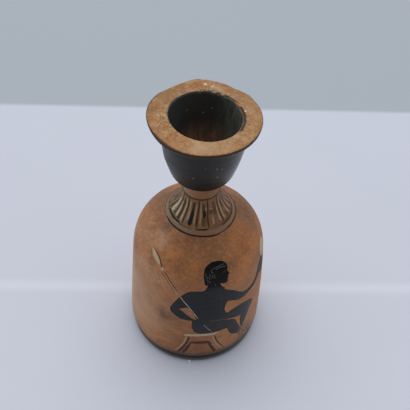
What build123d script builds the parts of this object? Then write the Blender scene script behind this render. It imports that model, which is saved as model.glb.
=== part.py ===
from build123d import *
import math
import os

# Clay oil flask on a foot, with a flared neck, a deep cup mouth and a strap handle.
# Millimetres. +Z is up, the table is z = 0, the painted front faces -Y, the handle is at +Y.

# Foot: a turned disc that stands on a ring.
foot_radius = 33.2
foot_height = 3.4
foot_edge_round = 0.9
foot_ring_width = 9.0
foot_recess_depth = 1.2

# Body: floor, wall and shoulder thrown in one piece.
body_seat_radius = 32.6
belly_radius = 33.9
belly_height = 4.6
wall_top_radius = 31.05
wall_length = 47.2
shoulder_round = 25.0
body_wall = 4.0
body_floor = 5.0
floor_corner_round = 7.0

# Neck: a tube on a flared collar that drops into a ledge in the shoulder.
collar_radius = 16.2
collar_rise = 15.6
seat_depth = 1.6
seat_ledge = 2.4
neck_radius = 7.8
neck_wall = 3.2
neck_tube = 5.6

# Mouth: a cup with a broad lip, socketed over the neck.
socket_depth = 2.2
mouth_height = 32.2
mouth_floor = 5.4
mouth_heel_radius = 13.9
mouth_heel_height = 5.6
mouth_waist_height = 14.6
mouth_waist_radius = 16.5
mouth_waist_round = 70.0
lip_root_radius = 18.5
lip_root_drop = 4.6
lip_root_round = 4.0
lip_radius = 22.8
lip_thickness = 1.7
lip_edge_round = 0.7
lip_slope = 0.4
hole_radius = 15.1
cup_corner_radius = 10.6
cup_corner_rise = 1.6
cup_corner_round = 5.0

# Handle: a strap from the neck to the shoulder.
handle_width = 11.5
handle_thickness = 5.0
handle_gap = 0.9
handle_reach = 23.2
handle_bend = 9.5
handle_foot_radius = 22.0

# Levels and radii that follow from the sizes above.
foot_top = foot_height
belly_level = foot_top + belly_height
wall_top = belly_level + wall_length
lean = math.atan2(belly_radius - wall_top_radius, wall_length)
shoulder_x = wall_top_radius - shoulder_round * math.cos(lean)
shoulder_z = wall_top - shoulder_round * math.sin(lean)
inner_round = shoulder_round - body_wall


def on_arc(radius, around):
    """Height of the shoulder's arc of the given size at a distance from the axis."""
    return shoulder_z + math.sqrt(around**2 - (radius - shoulder_x) ** 2)


collar_level = on_arc(collar_radius, shoulder_round)
seat_level = collar_level - seat_depth
seat_opening = collar_radius - seat_ledge
tube_base = collar_level + collar_rise
mouth_base = tube_base + neck_tube
neck_top = mouth_base + socket_depth
neck_bore = neck_radius - neck_wall
cup_floor = mouth_base + mouth_floor
lip_top = mouth_base + mouth_height


def turned(edges):
    """Solid of revolution about Z from the closed half profile (radius, height)."""
    return revolve(Plane.XZ * make_face(edges), Axis.Z)


def make_foot():
    ring_inner = foot_radius - foot_ring_width
    outline = FilletPolyline(
        (0, foot_recess_depth),
        (ring_inner, foot_recess_depth),
        (ring_inner, 0),
        (foot_radius, 0),
        (foot_radius, foot_top),
        (0, foot_top),
        radius=[foot_recess_depth / 2, 0, foot_edge_round, foot_edge_round],
    )
    return turned([outline, Line((0, foot_top), (0, foot_recess_depth))])


def body_skin():
    """Outer outline of the body from the foot to the collar, as edges in order."""
    belly = (belly_radius, belly_level)
    heel = TangentArc(belly, (body_seat_radius, foot_top), tangent=(math.sin(lean), -math.cos(lean)))
    wall = Line(belly, (wall_top_radius, wall_top))
    turn = math.acos((collar_radius - shoulder_x) / shoulder_round)
    shoulder = CenterArc(
        (shoulder_x, shoulder_z), shoulder_round, math.degrees(lean), math.degrees(turn - lean)
    )
    return [heel, wall, shoulder]


def make_body_block():
    """The body filled to its axis, for cutting the pieces that sit on it."""
    skin = body_skin()
    rest = Polyline(
        (collar_radius, collar_level), (0, collar_level), (0, foot_top), (body_seat_radius, foot_top)
    )
    return turned([*skin, rest])


def make_body(block):
    floor_level = foot_top + body_floor
    inner_belly = belly_radius - body_wall
    inner_top = (shoulder_x + inner_round * math.cos(lean), shoulder_z + inner_round * math.sin(lean))
    side = FilletPolyline(
        (0, floor_level),
        (inner_belly, floor_level),
        inner_top,
        radius=[floor_corner_round],
    )
    turn = math.acos((seat_opening - shoulder_x) / inner_round)
    shoulder = CenterArc(
        (shoulder_x, shoulder_z), inner_round, math.degrees(lean), math.degrees(turn - lean)
    )
    opening = Polyline(
        (seat_opening, on_arc(seat_opening, inner_round)),
        (seat_opening, seat_level),
        (collar_radius, seat_level),
        (collar_radius, collar_level),
        (0, collar_level),
        (0, floor_level),
    )
    return block - turned([side, shoulder, opening])


def collar_skin():
    return TangentArc((neck_radius, tube_base), (collar_radius, collar_level), tangent=(0, -1))


def make_neck_block():
    """The neck filled to its axis, up to the underside of the mouth."""
    rest = Polyline(
        (collar_radius, collar_level),
        (0, collar_level),
        (0, mouth_base),
        (neck_radius, mouth_base),
        (neck_radius, tube_base),
    )
    return turned([collar_skin(), rest])


def make_neck():
    flare = TangentArc((neck_bore, tube_base), (seat_opening, seat_level), tangent=(0, -1))
    base = Polyline(
        (seat_opening, seat_level), (collar_radius, seat_level), (collar_radius, collar_level)
    )
    tube = Polyline(
        (neck_radius, tube_base),
        (neck_radius, neck_top),
        (neck_bore, neck_top),
        (neck_bore, tube_base),
    )
    return turned([flare, base, collar_skin(), tube])


def make_mouth():
    lip_edge = lip_top - lip_slope
    heel_top = Vector(mouth_heel_radius, mouth_base + mouth_heel_height)
    waist = Vector(mouth_waist_radius, mouth_base + mouth_waist_height)
    cup = FilletPolyline(
        heel_top,
        waist,
        (lip_root_radius, lip_top - lip_root_drop),
        (lip_radius, lip_edge - lip_thickness),
        (lip_radius, lip_edge),
        (hole_radius, lip_top),
        (cup_corner_radius, cup_floor + cup_corner_rise),
        (neck_bore, cup_floor),
        radius=[
            mouth_waist_round,
            lip_root_round,
            lip_edge_round,
            lip_edge_round,
            lip_edge_round,
            cup_corner_round,
        ],
    )
    heel = TangentArc(heel_top, (neck_radius, mouth_base), tangent=heel_top - waist)
    socket = Polyline(
        (neck_radius, mouth_base),
        (neck_radius, neck_top),
        (neck_bore, neck_top),
        (neck_bore, cup_floor),
    )
    return turned([cup, heel, socket])


def make_handle(body_block, neck_block):
    top = mouth_base - handle_gap - handle_thickness / 2
    foot = on_arc(handle_foot_radius, inner_round)
    path = FilletPolyline(
        (0, neck_bore, top),
        (0, handle_reach, top),
        (0, handle_foot_radius, foot),
        radius=[handle_bend],
    )
    section = Plane(origin=path @ 0, x_dir=(1, 0, 0), z_dir=path % 0) * Ellipse(
        handle_width / 2, handle_thickness / 2
    )
    strap = sweep(section, path=path)
    return strap - body_block - neck_block


def build():
    body_block = make_body_block()
    return {
        "foot": make_foot(),
        "body": make_body(body_block),
        "neck": make_neck(),
        "mouth": make_mouth(),
        "handle": make_handle(body_block, make_neck_block()),
    }


os.makedirs("parts", exist_ok=True)
for name, piece in build().items():
    export_step(piece, f"parts/{name}.step")
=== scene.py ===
# Looks of a small painted clay oil flask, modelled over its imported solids.
# Sizes are millimetres. An angle on the flask is in degrees from the painted front, positive
# towards +X, and a height is above the table.
import bisect
import math

import bmesh
import bpy
from mathutils import Matrix, Vector, noise
from mathutils.geometry import delaunay_2d_cdt


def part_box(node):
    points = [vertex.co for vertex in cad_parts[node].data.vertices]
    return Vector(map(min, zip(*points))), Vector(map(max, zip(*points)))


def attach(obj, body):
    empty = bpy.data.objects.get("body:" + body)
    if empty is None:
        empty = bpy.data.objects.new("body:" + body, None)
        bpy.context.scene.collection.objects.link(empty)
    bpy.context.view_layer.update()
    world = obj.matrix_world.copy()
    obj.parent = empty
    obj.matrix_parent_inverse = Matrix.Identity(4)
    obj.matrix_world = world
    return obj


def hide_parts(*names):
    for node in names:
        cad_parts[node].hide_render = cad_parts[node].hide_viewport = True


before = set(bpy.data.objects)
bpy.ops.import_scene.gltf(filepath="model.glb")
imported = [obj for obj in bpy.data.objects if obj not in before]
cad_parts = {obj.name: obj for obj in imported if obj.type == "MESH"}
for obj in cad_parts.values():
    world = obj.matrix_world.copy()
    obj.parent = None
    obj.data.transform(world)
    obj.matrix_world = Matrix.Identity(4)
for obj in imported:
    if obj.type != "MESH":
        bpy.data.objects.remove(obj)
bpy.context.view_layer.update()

METRE = 1000.0

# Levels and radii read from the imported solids.
FOOT_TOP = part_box("foot")[1].z * METRE
COLLAR_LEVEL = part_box("body")[1].z * METRE
MOUTH_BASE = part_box("mouth")[0].z * METRE
LIP_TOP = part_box("mouth")[1].z * METRE
LIP_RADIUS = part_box("mouth")[1].x * METRE
HANDLE_LOW, HANDLE_HIGH = (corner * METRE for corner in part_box("handle"))

# How finely the turned pieces are meshed.
AROUND = 288
FINE_STEP = 0.25
SMOOTHING_PASSES = 6
CORNER_TURN = math.radians(25)
MOST_TURN = math.radians(6)
SHARP_EDGE = math.radians(38)
WELD = 1e-7

# How far hand-thrown clay stands off a true turned shape.
SLOW_UNEVENNESS = 0.16
SLOW_SIZE = 24.0
DENT_DEPTH = 0.05
DENT_SIZE = 7.0
DENT_PATTERN = Vector((5.1, 0.0, 0.0))
RIDGE_DEPTH = 0.018
RIDGE_PITCH = 3.4
RIDGE_WANDER = 4
JOINT_FADE = 2.5
FOOT_SHIFT = Vector((-0.37, -1.0, 0.0))
FOOT_SHIFT_TOP = 34.0
FOOT_SQUEEZE = 0.018
SHOULDER_SQUEEZE = 0.010
SHOULDER_TURN = 57.5
SHOULDER_TURN_SIZE = 6.5

# Paint: how far it stands on the clay, how deep its hidden underside lies and how it is meshed.
PAINT = 0.045
OVERPAINT = 0.085
SUNK = 0.1
PAPER_RADIUS = 32.5
OUTLINE_STEP = 0.35
GRID_STEP = 0.9
HAND_SHAKE = 0.05
HAND_SHAKE_SIZE = 1.6
UPWARD_SHAKE = Vector((0, 0, 9.7))

# Lines: how they are meshed, the share of their width at the tips and how fast it grows from
# there, how unevenly wide a stroke is, how much of its width is flat on top, and from what angle
# on a stroke is closed to a ring.
STROKE_STEP = 0.5
STROKE_TIP = 0.35
STROKE_GROWTH = 6
STROKE_SHAKE = 0.3
STROKE_FLAT = 0.9
SCRATCH_TIP = 0.25
SCRATCH_GROWTH = 4
NEARLY_ROUND = 350


# Small helpers

def clamp(share):
    return min(max(share, 0.0), 1.0)


def smoothed(share):
    return share * share * (3 - 2 * share)


def bell(gap):
    """1 at no gap, falling to nothing on both sides."""
    return math.exp(-gap * gap)


def around_axis(angle, distance, height):
    """A point at an angle from the front, a distance from the axis and a height."""
    turn = math.radians(angle)
    return Vector((math.sin(turn) * distance, -math.cos(turn) * distance, height))


def distances(points):
    """How far along an open line each of its points is."""
    lengths = [0.0]
    for a, b in zip(points, points[1:]):
        lengths.append(lengths[-1] + (b - a).length)
    return lengths


def run_at(line, i):
    """Direction of an open line at one of its points."""
    return (line[min(i + 1, len(line) - 1)] - line[max(i - 1, 0)]).normalized()


def find(values, value):
    """Number of the step of rising values that a value lies in, and its share of that step."""
    i = min(max(bisect.bisect_right(values, value), 1), len(values) - 1)
    return i, (value - values[i - 1]) / (values[i] - values[i - 1])


def in_scene(name, data):
    """A new object in the scene that holds a mesh, a lamp or a camera."""
    thing = bpy.data.objects.new(name, data)
    bpy.context.scene.collection.objects.link(thing)
    return thing


# Turned surfaces

def half_outline(node):
    """Half section of a turned solid as points (radius, height), from its lowest point outwards."""
    cut = bmesh.new()
    cut.from_mesh(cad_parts[node].data)
    bmesh.ops.remove_doubles(cut, verts=cut.verts, dist=WELD)
    whole = [*cut.verts, *cut.edges, *cut.faces]
    bmesh.ops.bisect_plane(cut, geom=whole, dist=WELD, plane_no=(1, 0, 0), clear_inner=True)
    whole = [*cut.verts, *cut.edges, *cut.faces]
    section = bmesh.ops.bisect_plane(cut, geom=whole, dist=WELD, plane_no=(0, 1, 0))
    links = {}
    for edge in section["geom_cut"]:
        if isinstance(edge, bmesh.types.BMEdge):
            here, there = edge.verts
            links.setdefault(here, []).append(there)
            links.setdefault(there, []).append(here)
    ends = [vertex for vertex, near in links.items() if len(near) == 1]
    start = min(ends or links, key=lambda vertex: (round(vertex.co.z, 6), -vertex.co.x))
    walk = [start, max(links[start], key=lambda vertex: vertex.co.x)]
    onward = True
    while onward:
        onward = [v for v in links[walk[-1]] if v is not walk[-2] and v is not start]
        walk += onward[:1]
    points = [Vector((vertex.co.x, vertex.co.z)) * METRE for vertex in walk]
    cut.free()
    return points, not ends


def turn_at(before, here, after):
    return abs((here - before).angle_signed(after - here, 0))


def spread_evenly(points, step):
    """Points at even distances along an open polyline, ends kept."""
    lengths = [(b - a).length for a, b in zip(points, points[1:])]
    count = max(1, round(sum(lengths) / step))
    even = [points[0]]
    gap = sum(lengths) / count
    passed = 0.0
    for a, b, length in zip(points, points[1:], lengths):
        while len(even) < count and gap * len(even) <= passed + length:
            even.append(a.lerp(b, (gap * len(even) - passed) / length))
        passed += length
    return even + [points[-1]]


def rounded_run(points, step):
    """A stretch between two corners with its facets smoothed, denser where it turns."""
    fine = spread_evenly(points, FINE_STEP)
    for _ in range(SMOOTHING_PASSES):
        inner = [(a + b * 2 + c) / 4 for a, b, c in zip(fine, fine[1:], fine[2:])]
        fine = [fine[0], *inner, fine[-1]]
    kept = [fine[0]]
    walked = turned = 0.0
    for before, here, after in zip(fine, fine[1:], fine[2:]):
        walked += (here - before).length
        turned += turn_at(before, here, after)
        if walked >= step or turned >= MOST_TURN:
            kept.append(here)
            walked = turned = 0.0
    return kept + [fine[-1]]


def refined_outline(node, step):
    """A solid's half outline with its arcs made smooth again and its corners kept."""
    points, closed = half_outline(node)
    if closed:
        points = points + [points[0]]
    stops = [0]
    for i in range(1, len(points) - 1):
        if turn_at(points[i - 1], points[i], points[i + 1]) > CORNER_TURN:
            stops.append(i)
    stops.append(len(points) - 1)
    refined = []
    for start, end in zip(stops, stops[1:]):
        refined += rounded_run(points[start : end + 1], step)[:-1]
    return refined if closed else refined + [points[-1]]


def outward_normals(points, closed):
    """Unit normals (out, up) that point away from the clay, one for each outline point."""
    normals = []
    last = len(points) - 1
    for i in range(len(points)):
        before = points[i - 1] if i or closed else points[0]
        after = points[(i + 1) % len(points)] if i < last or closed else points[last]
        run = (after - before).normalized()
        normals.append(Vector((run.y, -run.x)))
    return normals


def calm(height):
    """0 on the table and at the joints between the pieces, 1 away from them."""
    share = 1.0
    for level in (0.0, FOOT_TOP, COLLAR_LEVEL, MOUTH_BASE):
        near = min(abs(height - level) / JOINT_FADE, 1.0)
        share *= smoothed(near)
    return share


def handmade(point, outward, lift=0.0):
    """Where a point of the true shape lies on the hand-thrown one, lifted off the clay if asked."""
    slow = noise.noise(point / SLOW_SIZE)
    dent = noise.noise(point / DENT_SIZE + DENT_PATTERN)
    turn = math.atan2(point.y, point.x)
    ridge = math.sin(2 * math.pi * point.z / RIDGE_PITCH + turn + RIDGE_WANDER * slow)
    uneven = SLOW_UNEVENNESS * slow + DENT_DEPTH * dent + RIDGE_DEPTH * ridge
    return point + slump(point) + outward * (uneven * calm(point.z) + lift)


def slump(point):
    """How the pot sagged before firing: foot off the axis, low wall and shoulder squeezed sideways."""
    low = smoothed(clamp(1 - point.z / FOOT_SHIFT_TOP))
    turn = bell((point.z - SHOULDER_TURN) / SHOULDER_TURN_SIZE)
    inward = point.x * (FOOT_SQUEEZE * low + SHOULDER_SQUEEZE * turn)
    return FOOT_SHIFT * low - Vector((inward, 0, 0))


def row_corners(row, v, steps):
    """A face's corners along a row, as (vertex, map spot): two, or one where the row is a point."""
    places = [step / AROUND for step in steps]
    if len(row) == 1:
        return [(row[0], (sum(places) / 2, v))]
    return [(row[step % AROUND], (u, v)) for step, u in zip(steps, places)]


def turned_piece(name, profile, closed, shape=handmade):
    """A closed mesh turned about the Z axis, with one map island that runs round and along it."""
    normals = outward_normals(profile, closed)
    lengths = distances(profile + profile[:1])
    rows = []
    vertices = []
    for point, normal in zip(profile, normals):
        on_axis = point.x < 1e-4
        row = []
        for step in range(1 if on_axis else AROUND):
            turn = 2 * math.pi * step / AROUND
            side = Vector((math.cos(turn), math.sin(turn), 0.0))
            place = side * point.x + Vector((0, 0, point.y))
            outward = side * (0 if on_axis else normal.x) + Vector((0, 0, normal.y))
            row.append(len(vertices))
            vertices.append(shape(place, outward) / METRE)
        rows.append(row)
    faces = []
    spots = []
    length = lengths[-1 if closed else -2]
    for i in range(len(rows) if closed else len(rows) - 1):
        low, high = rows[i], rows[(i + 1) % len(rows)]
        v_low, v_high = lengths[i] / length, lengths[i + 1] / length
        for step in range(AROUND):
            corners = row_corners(low, v_low, (step, step + 1)) + row_corners(high, v_high, (step + 1, step))
            faces.append([vertex for vertex, spot in corners])
            spots += [spot for vertex, spot in corners]
    piece = mesh_piece(name, vertices, faces)
    layer = piece.data.uv_layers.new(name="OFBake")
    layer.data.foreach_set("uv", [number for spot in spots for number in spot])
    return piece


def mesh_piece(name, vertices, faces):
    mesh = bpy.data.meshes.new(name)
    mesh.from_pydata(vertices, [], faces)
    mesh.validate()
    mesh.shade_smooth()
    mesh.set_sharp_from_angle(angle=SHARP_EDGE)
    return in_scene(name, mesh)


# Painting on the turned surfaces

class Skin:
    """The flask's painted outside from the foot to the mouth, measured along its outline."""

    def __init__(self, points):
        self.points = points
        self.heights = [point.y for point in points]
        self.normals = outward_normals(points, False)
        self.lengths = distances(points)

    def along(self, height):
        """Distance along the outline up to a height."""
        i, share = find(self.heights, height)
        return self.lengths[i - 1] + share * (self.lengths[i] - self.lengths[i - 1])

    def at(self, along):
        """Outline point (radius, height) and its normal at a distance along the outline."""
        i, share = find(self.lengths, along)
        normal = self.normals[i - 1].lerp(self.normals[i], share).normalized()
        return self.points[i - 1].lerp(self.points[i], share), normal

    def place(self, angle, along, lift):
        """Point in metres on the hand-thrown clay."""
        point, normal = self.at(along)
        turn = math.radians(angle)
        side = Vector((math.sin(turn), -math.cos(turn), 0))
        up = Vector((0, 0, 1))
        return handmade(side * point.x + up * point.y, side * normal.x + up * normal.y, lift) / METRE


def make_skin(body_outline, neck_outline):
    """The outside of the body and, above it, of the neck."""
    bottom = max(range(len(body_outline)), key=lambda i: (-round(body_outline[i].y, 2), body_outline[i].x))
    top = max(range(len(body_outline)), key=lambda i: body_outline[i].y)
    points = body_outline[bottom : top + 1]
    for point in neck_outline:
        if points[-1].y + 1e-3 < point.y <= MOUTH_BASE:
            points = points + [point]
    return Skin(points)


def mixed(a, b, start, end, now):
    """The point between two that a steady walk from one to the other has reached now."""
    return a * ((end - now) / (end - start)) + b * ((now - start) / (end - start))


def curve(*points, step=OUTLINE_STEP):
    """A smooth line through given points, as even points."""
    points = [Vector(point) for point in points]
    if len(points) == 2:
        return spread_evenly(points, step)
    padded = [points[0] * 2 - points[1], *points, points[-1] * 2 - points[-2]]
    line = []
    for p0, p1, p2, p3 in zip(padded, padded[1:], padded[2:], padded[3:]):
        count = max(2, math.ceil((p2 - p1).length / step))
        t1 = max((p1 - p0).length, 1e-6) ** 0.5
        t2 = t1 + max((p2 - p1).length, 1e-6) ** 0.5
        t3 = t2 + max((p3 - p2).length, 1e-6) ** 0.5
        for i in range(count):
            t = t1 + (t2 - t1) * i / count
            a1 = mixed(p0, p1, 0, t1, t)
            a2 = mixed(p1, p2, t1, t2, t)
            a3 = mixed(p2, p3, t2, t3, t)
            b1 = mixed(a1, a2, 0, t2, t)
            b2 = mixed(a2, a3, t1, t3, t)
            line.append(mixed(b1, b2, t1, t2, t))
    return line + [points[-1]]


def flat(angle, height):
    """A place on the flask as a point on the unrolled skin."""
    return Vector((math.radians(angle) * PAPER_RADIUS, skin.along(height)))


def flat_curve(*places):
    return curve(*(flat(*place) for place in places))


def outline(*runs, draw=flat_curve):
    """A closed outline with a shaky edge. Each run of places goes on from the end of the one before."""
    points = []
    start = runs[-1][-1]
    for run in runs:
        points += draw(start, *run)[:-1]
        start = run[-1]
    shaken = []
    for point in points:
        at = Vector((point.x, point.y, 0)) / HAND_SHAKE_SIZE
        shift = Vector((noise.noise(at), noise.noise(at + UPWARD_SHAKE)))
        shaken.append(point + shift * HAND_SHAKE)
    return shaken


def taper(i, last, tip, growth):
    """Share of a line's width at one of its points, which grows from both tips to 1."""
    return min(1.0, tip + growth * min(i, last - i) / last)


def line_outline(line, width):
    """The outline of a thin line that is scratched into paint, pointed at both ends."""
    left, right = [], []
    last = len(line) - 1
    for i, point in enumerate(line):
        run = run_at(line, i)
        half = width / 2 * taper(i, last, SCRATCH_TIP, SCRATCH_GROWTH)
        side = Vector((-run.y, run.x)) * half
        left.append(point + side)
        right.append(point - side)
    return left + right[::-1]


def inside(point, polygon):
    hit = False
    for a, b in zip(polygon, polygon[1:] + polygon[:1]):
        if (a.y > point.y) != (b.y > point.y):
            hit ^= point.x < a.x + (point.y - a.y) / (b.y - a.y) * (b.x - a.x)
    return hit


def grid_inside(fills):
    """Loose points inside the outlines, so that a wide patch can follow the curved clay."""
    every = [point for fill in fills for point in fill]
    low = Vector((min(p.x for p in every), min(p.y for p in every)))
    high = Vector((max(p.x for p in every), max(p.y for p in every)))
    clear = (0.5 * GRID_STEP) ** 2
    points = []
    for i in range(int((high.x - low.x) / GRID_STEP)):
        for j in range(int((high.y - low.y) / GRID_STEP)):
            point = low + Vector((i + 0.5 + 0.5 * (j % 2), j + 0.5)) * GRID_STEP
            if any(inside(point, fill) for fill in fills):
                if min((point - p).length_squared for p in every) > clear:
                    points.append(point)
    return points


def counter_clockwise(loop):
    area = sum(a.x * b.y - b.x * a.y for a, b in zip(loop, loop[1:] + loop[:1]))
    return loop if area > 0 else loop[::-1]


def painted_patch(name, fills, gaps=(), lift=PAINT):
    """A thin closed skin of paint over the union of the fills, open at the gaps."""
    loops = [counter_clockwise(loop) for loop in (*fills, *gaps)]
    points = [point for loop in loops for point in loop]
    rings = []
    first = 0
    for loop in loops:
        rings.append(list(range(first, first + len(loop))))
        first += len(loop)
    cut = delaunay_2d_cdt(points + grid_inside(fills), [], rings, 1, 1e-5, True)
    spots, triangles, sources = cut[0], cut[2], cut[5]
    kept = []
    for triangle, source in zip(triangles, sources):
        if source and max(source) < len(fills):
            kept.append(triangle)
    used = sorted({i for triangle in kept for i in triangle})
    number = {old: new for new, old in enumerate(used)}
    places = [(math.degrees(spots[i].x / PAPER_RADIUS), spots[i].y) for i in used]
    vertices = [skin.place(angle, along, lift) for angle, along in places]
    vertices += [skin.place(angle, along, -SUNK) for angle, along in places]
    faces = []
    sides = {}
    count = len(used)
    for triangle in kept:
        a, b, c = (number[i] for i in triangle)
        faces += [(a, b, c), (c + count, b + count, a + count)]
        for edge in ((a, b), (b, c), (c, a)):
            sides[edge] = True
    for a, b in sides:
        if (b, a) not in sides:
            faces.append((b, a, a + count, b + count))
    return mesh_piece(name, vertices, faces)


def brush_lines(name, lines, lift=PAINT):
    """Painted lines as low closed ridges. Each is (widths at its ends, angles and heights)."""
    vertices, faces = [], []
    for widths, places in lines:
        add_brush_line(vertices, faces, places, widths, lift)
    return mesh_piece(name, vertices, faces)


def smooth_line(*places):
    """Given angles and heights as a smooth line of angles and heights."""
    scaled = [(angle * math.radians(PAPER_RADIUS), height) for angle, height in places]
    return [(spot.x / math.radians(PAPER_RADIUS), spot.y) for spot in curve(*scaled, step=0.5)]


def strokes(name, lines, lift=PAINT):
    """Brush strokes through listed places. Each is (widths at its ends, place, place and so on)."""
    smooth = [(widths, smooth_line(*places)) for widths, *places in lines]
    return brush_lines(name, smooth, lift)


def add_brush_line(vertices, faces, places, widths, lift):
    """Adds one line to the lists. A line that goes all round the flask is closed to a ring."""
    closed = places[-1][0] - places[0][0] > NEARLY_ROUND
    centre = [Vector((angle, skin.along(height))) for angle, height in places]
    last = len(centre) - 1
    across = max(3, math.ceil(max(widths) / STROKE_STEP) + 1)
    rows = []
    for i, spot in enumerate(centre):
        before = centre[i - 1] if i else (centre[last] - Vector((360, 0)) if closed else spot)
        after = centre[i + 1] if i < last else (centre[0] + Vector((360, 0)) if closed else spot)
        radius = skin.at(spot.y)[0].x
        run = after - before
        run = Vector((math.radians(run.x) * radius, run.y)).normalized()
        side = Vector((-run.y, run.x))
        shake = noise.noise(Vector((math.radians(spot.x) * radius, spot.y, 3.3)) / HAND_SHAKE_SIZE)
        full = 1.0 if closed else taper(i, last, STROKE_TIP, STROKE_GROWTH)
        width = widths[0] + (widths[1] - widths[0]) * i / last
        half = width / 2 * full * (1 + STROKE_SHAKE * shake)
        row = []
        for k in range(-1, across + 1):
            share = min(max(2 * k / (across - 1) - 1, -1.0), 1.0)
            hidden = k in (-1, across)
            shift = side * share * half * (1.0 if hidden else STROKE_FLAT)
            row.append(len(vertices))
            angle = spot.x + math.degrees(shift.x / radius)
            vertices.append(skin.place(angle, spot.y + shift.y, -SUNK if hidden else lift))
        rows.append(row)
    pairs = list(zip(rows, rows[1:]))
    if closed:
        pairs.append((rows[-1], rows[0]))
    else:
        faces.append(tuple(rows[0]))
        faces.append(tuple(reversed(rows[-1])))
    for low, high in pairs:
        for k in range(len(low)):
            after = (k + 1) % len(low)
            faces.append((low[after], low[k], high[k], high[after]))


# Materials

class Nodes:
    """A node tree with short ways to add and join its nodes."""

    def __init__(self, tree):
        self.tree = tree

    def join(self, value, socket):
        if isinstance(value, bpy.types.NodeSocket):
            self.tree.links.new(value, socket)
        elif socket.type == "RGBA":
            socket.default_value = (*value, 1.0)
        else:
            socket.default_value = value

    def node(self, kind, inputs=None, **settings):
        """The outputs of a new node with these inputs and settings."""
        node = self.tree.nodes.new("ShaderNode" + kind)
        for setting, value in settings.items():
            setattr(node, setting, value)
        for key, value in (inputs or {}).items():
            self.join(value, node.inputs[key])
        return node.outputs

    def sum(self, operation, a, b):
        return self.node("Math", {0: a, 1: b}, operation=operation)["Value"]

    def times(self, a, b):
        return self.sum("MULTIPLY", a, b)

    def plus(self, a, b):
        return self.sum("ADD", a, b)

    def slope(self, value, ends, results):
        """The first result at the first end, the second at the second and smooth between them."""
        inputs = {"Value": value, "From Min": ends[0], "From Max": ends[1]}
        inputs |= {"To Min": results[0], "To Max": results[1]}
        return self.node("MapRange", inputs, interpolation_type="SMOOTHSTEP")["Result"]


class Shader(Nodes):
    """A material's nodes, with the patterns, masks and colours that the clay and paint are made of."""

    def __init__(self, name):
        self.material = bpy.data.materials.new(name)
        self.material.use_nodes = True
        super().__init__(self.material.node_tree)
        self.tree.nodes.clear()
        self.surface = self.tree.nodes.new("ShaderNodeBsdfPrincipled")
        self.node("OutputMaterial", {"Surface": self.surface.outputs["BSDF"]})
        self.place = self.node("TexCoord")["Object"]

    def stretched(self, stretch, shift=0):
        """Object coordinates scaled along the axes, for patterns that run one way."""
        inputs = {"Vector": self.place, "Location": (shift, shift, shift), "Scale": stretch}
        return self.node("Mapping", inputs)["Vector"]

    def oval(self, shift, turn, wide, long):
        """Object coordinates in which a turned oval about the Z axis is a circle, height dropped."""
        inputs = {
            "Vector": self.place,
            "Location": (shift.x / METRE, shift.y / METRE, 0),
            "Rotation": (0, 0, turn),
            "Scale": (wide, long, 1e6),
        }
        return self.node("Mapping", inputs, vector_type="TEXTURE")["Vector"]

    def noise(self, size, detail=4, rough=0.55, stretch=(1, 1, 1), shift=0):
        """Cloudy pattern from 0 to 1 whose patches are about size millimetres across."""
        place = self.stretched(stretch, shift)
        inputs = {"Vector": place, "Scale": METRE / size, "Detail": detail, "Roughness": rough}
        return self.node("TexNoise", inputs)["Fac"]

    def clouds(self, size, low, high, **pattern):
        """A cloudy pattern sharpened to 0 below low and 1 above high, or the other way round."""
        return self.ease(self.noise(size, **pattern), low, high)

    def cells(self, size):
        """Distance from the nearest of scattered points, for pits and specks."""
        return self.node("TexVoronoi", {"Vector": self.place, "Scale": METRE / size})["Distance"]

    def part(self, axis):
        return self.node("SeparateXYZ", {"Vector": self.place})[axis]

    def length(self, vector):
        return self.node("VectorMath", {0: vector}, operation="LENGTH")["Value"]

    def ease(self, value, low, high):
        """0 at low, 1 at high and smooth between them. Low may be the larger one."""
        if low > high:
            return self.slope(value, (high, low), (1, 0))
        return self.slope(value, (low, high), (0, 1))

    def fade(self, length, low, high):
        """Like ease, for a length whose ends are given in millimetres."""
        return self.ease(length, low / METRE, high / METRE)

    def along(self, axis, low, high):
        """Like fade, for the place along an axis."""
        return self.fade(self.part(axis), low, high)

    def near(self, point, reach):
        """1 at a point in metres, falling to 0 at a reach in millimetres."""
        distance = self.node("VectorMath", {0: self.place, 1: point}, operation="DISTANCE")["Value"]
        return self.fade(distance, reach, 0)

    def between(self, value, low, high):
        """A pattern from 0 to 1 turned into the range from low to high."""
        return self.node("MapRange", {"Value": value, "To Min": low, "To Max": high})["Result"]

    def blend(self, share, a, b, way="MIX"):
        return self.node("Mix", {0: share, 6: a, 7: b}, data_type="RGBA", blend_type=way)[2]

    def lay(self, colour, tint, mask, share):
        """A colour with a tint laid over it where the mask is 1, as strongly as the share says."""
        return self.blend(self.times(mask, share), colour, tint)

    def ramp(self, value, *stops):
        colour = self.node("ValToRGB", {"Fac": value})["Color"]
        marks = colour.node.color_ramp.elements
        while len(marks) < len(stops):
            marks.new(1.0)
        for mark, (position, tint) in zip(marks, stops):
            mark.position = position
            mark.color = (*tint, 1.0)
        return colour

    def bump(self, height, depth):
        """Fine relief of the given depth in millimetres."""
        inputs = {"Strength": 1, "Distance": depth / METRE, "Height": height}
        self.join(self.node("Bump", inputs)["Normal"], self.surface.inputs["Normal"])

    def finish(self, colour, roughness, specular, tint=(1, 1, 1)):
        self.join(colour, self.surface.inputs["Base Color"])
        self.join(tint, self.surface.inputs["Specular Tint"])
        self.join(roughness, self.surface.inputs["Roughness"])
        self.join(specular, self.surface.inputs["Specular IOR Level"])
        return self.material


def on_skin(angle, height):
    """A place on the body or neck in metres, for marks in a material."""
    return skin.place(angle, skin.along(height), 0.0)


# Clay

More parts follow.
